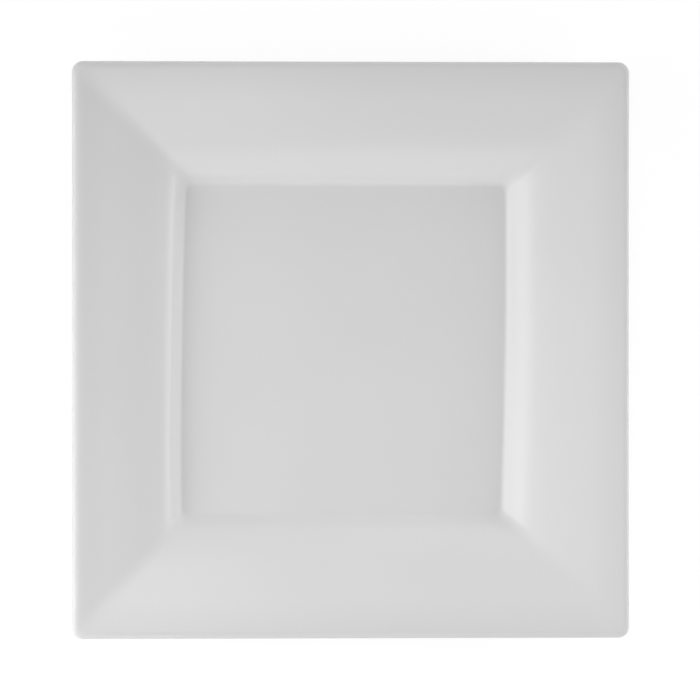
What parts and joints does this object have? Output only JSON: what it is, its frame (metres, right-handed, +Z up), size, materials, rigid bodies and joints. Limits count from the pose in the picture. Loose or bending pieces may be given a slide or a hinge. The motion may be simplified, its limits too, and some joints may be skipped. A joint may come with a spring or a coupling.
{
  "type": "charger plate",
  "caption": "Square white porcelain charger plate with a sunken square well, a broad gently rising rim, mitred corners, a rounded lip and a bare standing foot.",
  "frame": {"origin": "middle of the standing face, under the centre of the plate", "axes": "+Z up through the centre of the well, +X and +Y square to the plate's sides"},
  "size_m": [0.305, 0.305, 0.0254],
  "materials": {
    "fired_clay": "matte",
    "bare_foot": "matte",
    "white_glaze": "gloss"
  },
  "bodies": {
    "root": {"plate_body": "fired_clay", "foot_ring": "bare_foot", "glaze_coat": "white_glaze", "base_glaze": "white_glaze"}
  },
  "joints": []
}
